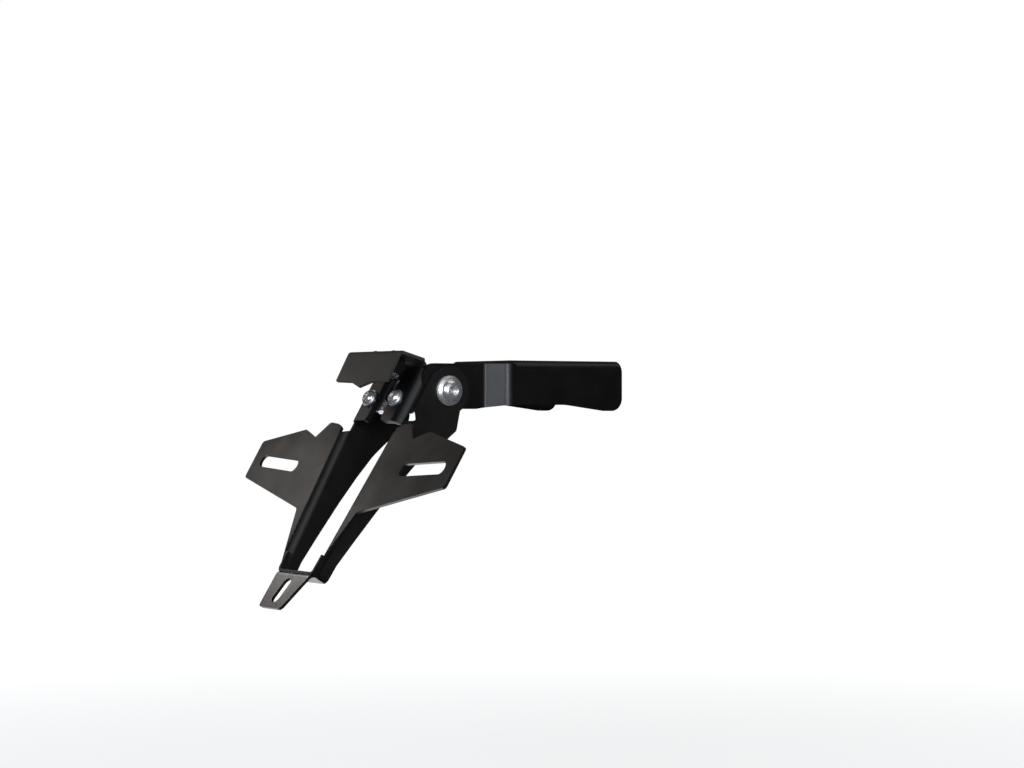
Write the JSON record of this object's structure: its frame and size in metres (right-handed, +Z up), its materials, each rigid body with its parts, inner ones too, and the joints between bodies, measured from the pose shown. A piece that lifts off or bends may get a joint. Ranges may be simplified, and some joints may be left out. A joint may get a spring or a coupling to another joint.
{
  "type": "tail tidy",
  "caption": "Folded black steel tail tidy: an undertail bracket with a hooded plate lamp, and a winged plate hanger that tilts on its pivot bolts.",
  "frame": {"origin": "middle of the four mounting holes, on the upper face of the bracket's top plate", "axes": "+X to the vehicle's right, +Y forwards along the vehicle, +Z up"},
  "size_m": [0.19, 0.1895, 0.1246],
  "materials": {
    "bracket_coat": "satin",
    "hanger_coat": "satin",
    "hood_coat": "satin",
    "zinc": "bright zinc",
    "dull_zinc": "dull zinc",
    "nylon": "matte",
    "lamp_plastic": "gloss",
    "lens": "clear",
    "board": "gloss",
    "black_screw": "satin"
  },
  "bodies": {
    "bracket": {"main_bracket": "bracket_coat", "lamp_hood": "hood_coat", "pivot_bolt_left": "zinc", "pivot_bolt_right": "zinc", "pivot_washer_left": "zinc", "pivot_washer_right": "zinc", "pivot_nut_left": "zinc", "pivot_nut_right": "zinc", "outer_washer_left": "dull_zinc", "outer_washer_right": "dull_zinc", "friction_washer_left": "nylon", "friction_washer_right": "nylon", "lamp_housing": "lamp_plastic", "lamp_lens": "lens", "led_board": "board", "lamp_screw_left": "black_screw", "lamp_screw_right": "black_screw", "lamp_bolt_left": "zinc", "lamp_bolt_right": "zinc", "lamp_head_washers": "zinc", "lamp_tab_washers": "zinc", "lamp_nut_left": "zinc", "lamp_nut_right": "zinc"},
    "hanger": {"plate_hanger": "hanger_coat"}
  },
  "joints": [
    {"name": "plate_tilt", "type": "hinge", "parent": "bracket", "child": "hanger", "pos_m": [0, -0.068, -0.0153], "axis": [1, 0, 0], "range_deg": [-20, 25]}
  ]
}
